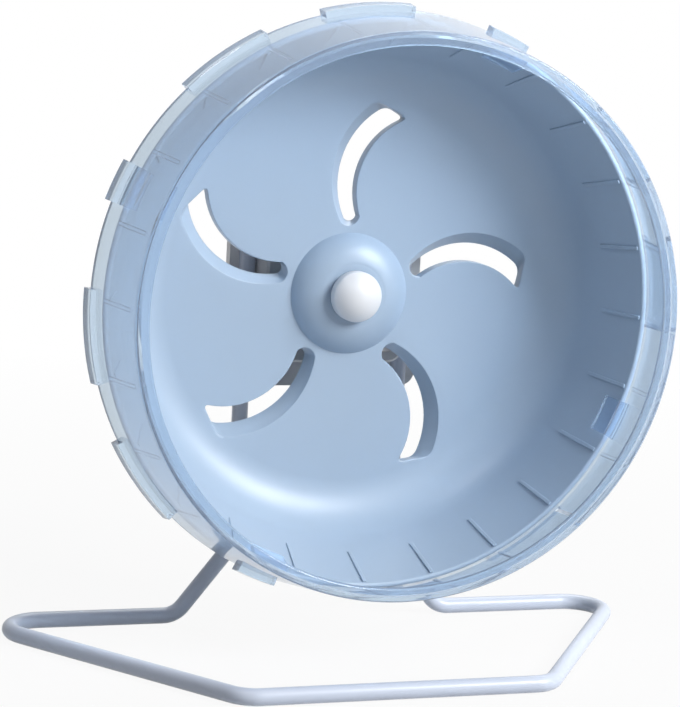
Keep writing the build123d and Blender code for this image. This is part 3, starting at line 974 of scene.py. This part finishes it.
@dataclass
class ClearRing:
    """Clear front ring: flat lip, flared wall, raised pads at the back, hooks over the bowl's rim."""

    lip_front: float = -50.5
    lip_radius: float = 105.0
    lip_width: float = 5.2
    lip_thickness: float = 2.4
    lip_round: float = 0.8
    length: float = 42.7
    wall: float = 2.0
    flare: float = 0.1639
    edge_round: float = 0.5
    rib_start: float = 7.5
    rib_length: float = 23.9
    pad_length: float = 6.8
    pad_height: float = 2.4
    pad_repeats: int = 4
    long_pad_starts: tuple[float, float] = (87.0, 117.0)
    long_pad_angle: float = 18.0
    short_pad_start: float = 152.4
    short_pad_angle: float = 8.0
    hook_length: float = 6.2
    hook_wall: float = 1.7
    hook_gap: float = 0.35
    catch_setback: float = 2.2
    catch_length: float = 1.8

    @property
    def back(self) -> float:
        """Depth of the ring's rear edge."""
        return self.lip_front + self.length

    def outside(self, depth: float) -> float:
        """Return the outer radius at a depth."""
        return self.lip_radius + self.flare * (depth - self.lip_front)

    def inside(self, depth: float) -> float:
        """Return the wall's inner radius at a depth."""
        return self.outside(depth) - self.wall

    def profile(self) -> list[Point]:
        """Return the closed profile of lip and wall."""
        inner = self.lip_radius - self.lip_width
        lip_back = self.lip_front + self.lip_thickness
        small, round_ = self.edge_round, self.lip_round
        return [
            *arc((self.lip_front + round_, inner + round_), round_, 270.0, 180.0, EDGE_STEPS),
            *arc((self.lip_front + round_, self.lip_radius - round_), round_, 180.0, 90.0, EDGE_STEPS),
            (self.back - small, self.outside(self.back)),
            (self.back, self.outside(self.back) - small),
            (self.back, self.inside(self.back) + small),
            (self.back - small, self.inside(self.back)),
            (lip_back + round_, self.inside(lip_back + round_)),
            (lip_back, self.inside(lip_back) - round_),
            (lip_back, inner),
        ]

    def pads(self) -> list[bpy.types.Object]:
        """Return the raised pads along the rear edge."""
        front = self.back - self.pad_length
        middle = self.wall / 2
        bevel = 0.3
        profile = [
            (front, self.inside(front) + middle),
            (front, self.outside(front) + self.pad_height - bevel),
            (front + bevel, self.outside(front + bevel) + self.pad_height),
            (self.back - bevel, self.outside(self.back) + self.pad_height),
            (self.back, self.outside(self.back) + self.pad_height - bevel),
            (self.back, self.inside(self.back) + middle),
        ]
        quarter = 360.0 / self.pad_repeats
        turns = [quarter * step for step in range(self.pad_repeats)]
        made = []
        for start in self.long_pad_starts:
            made += copies_round(sector("long_pad", profile, start, self.long_pad_angle, 18), turns)
        short = sector("short_pad", profile, self.short_pad_start, self.short_pad_angle, 8)
        return made + copies_round(short, turns)

    def hooks(self, bowl: Bowl) -> list[bpy.types.Object]:
        """Return the hooks inside the bowl's rim and the catches behind it."""
        rim = bowl.inner_rim_radius - self.hook_gap
        bend = bowl.rim_front - self.hook_gap
        front = bend - self.hook_wall
        back = bend + self.hook_length
        middle = self.wall / 2
        hook = [
            (front, self.inside(front) + middle),
            (front, rim - self.hook_wall + 0.4),
            (front + 0.4, rim - self.hook_wall),
            (back, bowl.inside(back) - self.hook_gap - self.hook_wall),
            (back, bowl.inside(back) - self.hook_gap),
            (bend, rim),
            (bend, self.inside(bend) + middle),
        ]
        near = bowl.rim_front + self.catch_setback
        far = near + self.catch_length
        low = bowl.wall_radius(near, bowl.rim_radius) + self.hook_gap
        catch = [(near, self.inside(near) + middle), (near, low), (far, low), (far, self.inside(far) + middle)]
        turns = [360.0 / self.pad_repeats * step for step in range(self.pad_repeats)]
        made = []
        for name, profile in (("hook", hook), ("catch", catch)):
            made += copies_round(sector(name, profile, self.short_pad_start, self.short_pad_angle, 8), turns)
        return made

    def build(self, ribs: RunningRibs, bowl: Bowl) -> bpy.types.Object:
        """Return the whole ring as one closed wall."""
        ring = lathe("front_ring", self.profile())
        running = ribs.build("ring_ribs", self.lip_front + self.rib_start, self.rib_length, self.inside)
        combine(ring, join([*self.pads(), *self.hooks(bowl), running], "ring_details"), Layer.ADD)
        return ring


@dataclass
class Hub:
    """Domed cover over the housing, and the white cap in its middle."""

    disc_front: float = 26.7
    cover_front: float = 19.9
    cover_radius: float = 24.0
    nose_radius: float = 12.5
    nose_back: float = 21.5
    nose_hole: float = 8.3
    bore_radius: float = 14.4
    bulge: float = 1.4
    cap_back: float = 19.5
    cap_height: float = 8.2
    cap_radius: float = 10.0
    cap_dome: float = 4.5
    cap_edge: float = 0.6
    pocket_radius: float = 7.7
    pocket_front: float = 16.2
    tip_radius: float = 4.1
    tip_front: float = 15.1

    def cover(self) -> bpy.types.Object:
        """Return the domed cover."""
        chord = (self.cover_front - self.disc_front, self.nose_radius - self.cover_radius)
        length = math.hypot(*chord)
        crown = (
            self.disc_front + chord[0] / 2 + self.bulge * chord[1] / length,
            self.cover_radius + chord[1] / 2 - self.bulge * chord[0] / length,
        )
        foot, nose = (self.disc_front, self.cover_radius), (self.cover_front, self.nose_radius)
        dome = arc_through(foot, crown, nose, 24)
        nose_middle, nose_end = (nose[0] + 0.08, nose[1] - 0.2), (nose[0], nose[1] - 0.9)
        nose_edge = arc_through(dome[-2], nose_middle, nose_end, EDGE_STEPS)
        profile = [
            *dome[:-1],
            *nose_edge[1:],
            (self.cover_front, self.nose_hole + 0.3),
            (self.cover_front + 0.3, self.nose_hole),
            (self.nose_back, self.nose_hole),
            (self.nose_back, self.bore_radius),
            (self.disc_front, self.bore_radius),
        ]
        return lathe("hub_dome", profile)

    def cap(self) -> bpy.types.Object:
        """Return the white cap with its pocket for the nut."""
        front = self.cap_back - self.cap_height
        radius = (self.cap_radius**2 + self.cap_dome**2) / (2 * self.cap_dome)
        reach = math.degrees(math.asin((self.cap_radius - self.cap_edge / 2) / radius))
        shoulder = front + self.cap_dome
        profile = [
            *arc((front + radius, 0.0), radius, 180.0, 180.0 - reach, 20),
            (shoulder + self.cap_edge / 2, self.cap_radius),
            (self.cap_back - self.cap_edge / 2, self.cap_radius),
            (self.cap_back, self.cap_radius - self.cap_edge / 2),
            (self.cap_back, self.pocket_radius),
            (self.pocket_front, self.pocket_radius),
            (self.pocket_front, self.tip_radius),
            (self.tip_front, self.tip_radius),
            (self.tip_front, 0.0),
        ]
        return lathe("white_cap", profile, closed=False)


@dataclass
class Stand:
    """One bent rod: base trapezoid, two knees and two uprights."""

    rod_radius: float = 3.25
    base_depth: float = 113.0
    front_width: float = 120.6
    rear_width: float = 278.6
    foot_spacing: float = 114.0
    upright_spacing: float = 67.0
    knee_height: float = 33.0
    top: float = 169.0
    front_bend: float = 12.0
    rear_bend: float = 13.5
    foot_bend: float = 10.0
    bend_steps: int = 14

    def half_route(self) -> list[tuple[Vector, float]]:
        """Return the corners from the top of the right upright to the front rail, with their bends."""
        rear = self.base_depth / 2
        return [
            (Vector((self.upright_spacing / 2, rear, self.top)), 0.0),
            (Vector((self.upright_spacing / 2, rear, self.knee_height)), self.foot_bend),
            (Vector((self.foot_spacing / 2, rear, self.rod_radius)), self.foot_bend),
            (Vector((self.rear_width / 2, rear, self.rod_radius)), self.rear_bend),
            (Vector((self.front_width / 2, -rear, self.rod_radius)), self.front_bend),
        ]

    def route(self) -> list[Vector]:
        """Return the rod's centre line in metres, with every corner rounded."""
        half = self.half_route()
        mirrored = [(Vector((-corner.x, corner.y, corner.z)), bend) for corner, bend in reversed(half)]
        corners = half + mirrored
        points = [corners[0][0]]
        for (before, _), (corner, bend), (after, _) in zip(corners, corners[1:], corners[2:]):
            towards, away = (before - corner).normalized(), (after - corner).normalized()
            opening = towards.angle(away)
            inset = bend / math.tan(opening / 2)
            centre = corner + (towards + away).normalized() * bend / math.sin(opening / 2)
            first = corner + towards * inset - centre
            turn = math.pi - opening
            axis = first.cross(corner + away * inset - centre).normalized()
            for step in range(self.bend_steps + 1):
                points.append(centre + Matrix.Rotation(turn * step / self.bend_steps, 3, axis) @ first)
        points.append(corners[-1][0])
        return [point * MM for point in points]

    def build(self) -> bpy.types.Object:
        """Return the rod, drawn as a line and given its thickness."""
        begin("bent_rod")
        draw(self.route(), closed=False)
        bpy.ops.object.mode_set(mode="OBJECT")
        bpy.ops.object.convert(target="CURVE")
        line = bpy.context.object
        line.data.bevel_depth = self.rod_radius * MM
        line.data.bevel_resolution = 8
        line.data.use_fill_caps = True
        bpy.ops.object.convert(target="MESH")
        return bpy.context.object


@dataclass(frozen=True)
class Viewpoint:
    """Camera at the photograph's place, with angles in degrees and lengths in millimetres."""

    azimuth: float = 19.1
    elevation: float = 8.69
    roll: float = 3.09
    distance: float = 846.79
    target: tuple[float, float, float] = (-29.05, -50.5, 128.46)
    focal_pixels: float = 2350.92
    picture_width: int = 680
    sensor: float = 36.0

    def build(self) -> bpy.types.Object:
        """Return the scene's camera."""
        azimuth, elevation, roll = (math.radians(a) for a in (self.azimuth, self.elevation, self.roll))
        forward = Vector(
            (
                math.sin(azimuth) * math.cos(elevation),
                math.cos(azimuth) * math.cos(elevation),
                -math.sin(elevation),
            )
        )
        right = Vector((math.cos(azimuth), -math.sin(azimuth), 0.0))
        up = right.cross(forward)
        level_right = right * math.cos(roll) + up * math.sin(roll)
        level_up = up * math.cos(roll) - right * math.sin(roll)
        turned = Matrix((level_right, level_up, -forward)).transposed().to_4x4()
        place = (Vector(self.target) - forward * self.distance) * MM
        bpy.ops.object.camera_add()
        camera = bpy.context.object
        camera.matrix_world = Matrix.Translation(place) @ turned
        camera.data.sensor_fit = "HORIZONTAL"
        camera.data.sensor_width = self.sensor
        camera.data.lens = self.focal_pixels / self.picture_width * self.sensor
        camera.data.clip_start = 0.01
        bpy.context.scene.camera = camera
        return camera


@dataclass(frozen=True)
class Lamp:
    """Soft square lamp that faces the wheel, with places in metres and power in watts."""

    name: str
    place: tuple[float, float, float]
    size: float
    power: float
    colour: Colour = (1.0, 1.0, 1.0)

    def build(self) -> None:
        """Add the lamp."""
        bpy.ops.object.light_add(type="AREA", location=self.place)
        lamp = bpy.context.object
        lamp.name = self.name
        lamp.data.size = self.size
        lamp.data.energy = self.power
        lamp.data.color = self.colour
        lamp.rotation_euler = (AXLE - Vector(self.place)).to_track_quat("-Z", "Y").to_euler()


@dataclass(frozen=True)
class Studio:
    """White surroundings: soft lamps, an even world and a pale floor that keeps the shadow."""

    lamps: tuple[Lamp, ...] = (
        Lamp("key", (0.94, -1.0, 0.97), 0.75, 31.0),
        Lamp("top", (-0.68, -0.5, 1.5), 0.3, 3.0, (1.0, 0.92, 0.92)),
        Lamp("back", (0.5, 1.0, 1.5), 0.8, 9.0),
    )
    ambient: float = 0.05
    ambient_colour: Colour = (0.6, 0.84, 1.0)
    floor_size: float = 12.0
    floor_drop: float = 0.0002
    floor_colour: Colour = (0.6, 0.6, 0.61)
    shadow_share: float = 0.07
    shadow_near: float = 0.25
    shadow_reach: float = 0.5

    def world(self) -> None:
        """Set a world that looks white and lights the object evenly."""
        graph = WorldGraph("studio")
        even = graph.node(
            "ShaderNodeBackground", {}, {"Color": (*self.ambient_colour, 1.0), "Strength": self.ambient}
        )
        white = graph.node("ShaderNodeBackground", {}, {"Color": (1.0, 1.0, 1.0, 1.0), "Strength": 1.0})
        bpy.context.scene.world = graph.finish(graph.mixed(graph.seen(), even, white).outputs[0])

    def floor(self) -> None:
        """Add a floor that is white to the camera apart from a faint shadow near the object."""
        bpy.ops.mesh.primitive_plane_add(size=self.floor_size, location=(0.0, 0.0, -self.floor_drop))
        floor = bpy.context.object
        floor.name = "floor"
        graph = Graph("pale_floor")
        place = graph.node("ShaderNodeTexCoord", {}, {})
        away = graph.node("ShaderNodeVectorMath", {"operation": "LENGTH"}, {0: place.outputs["Object"]})
        distance = Value(graph, away.outputs["Value"])
        fade = ((distance - self.shadow_near) * (1.0 / self.shadow_reach)).clamped()
        share = graph.seen() * (1.0 - self.shadow_share * (1.0 - fade))
        matt = graph.node("ShaderNodeBsdfDiffuse", {}, {"Color": (*self.floor_colour, 1.0)})
        white = graph.node("ShaderNodeEmission", {}, {"Color": (1.0, 1.0, 1.0, 1.0), "Strength": 1.0})
        floor.data.materials.append(graph.finish(graph.mixed(share, matt, white).outputs[0]))

    def build(self) -> None:
        """Set up lamps, world and floor."""
        for lamp in self.lamps:
            lamp.build()
        self.world()
        self.floor()
        bpy.context.scene.view_settings.view_transform = "Standard"


def main() -> None:
    """Load the frame, model the visible pieces, dress everything and light it."""
    logging.basicConfig(level=logging.INFO, format="%(name)s: %(message)s")
    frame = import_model()
    Viewpoint().build()
    dresser = Dresser(frame)
    slots, ribs, bowl, hub = SwirlSlots(), RunningRibs(), Bowl(), Hub()
    dresser.dress(bowl.build(slots, ribs), Slot.BLUE, Body.WHEEL, "running_bowl")
    dresser.dress(ClearRing().build(ribs, bowl), Slot.CLEAR, Body.WHEEL, "clear_ring")
    dresser.dress(hub.cover(), Slot.BLUE, Body.WHEEL, "hub_cover")
    dresser.dress(hub.cap(), Slot.WHITE, Body.STAND, "axle_cap")
    dresser.dress(Stand().build(), Slot.ROD, Body.STAND, "stand_rod")
    dresser.dress_nodes(frame["record"])
    Studio().build()


if __name__ == "__main__":
    main()
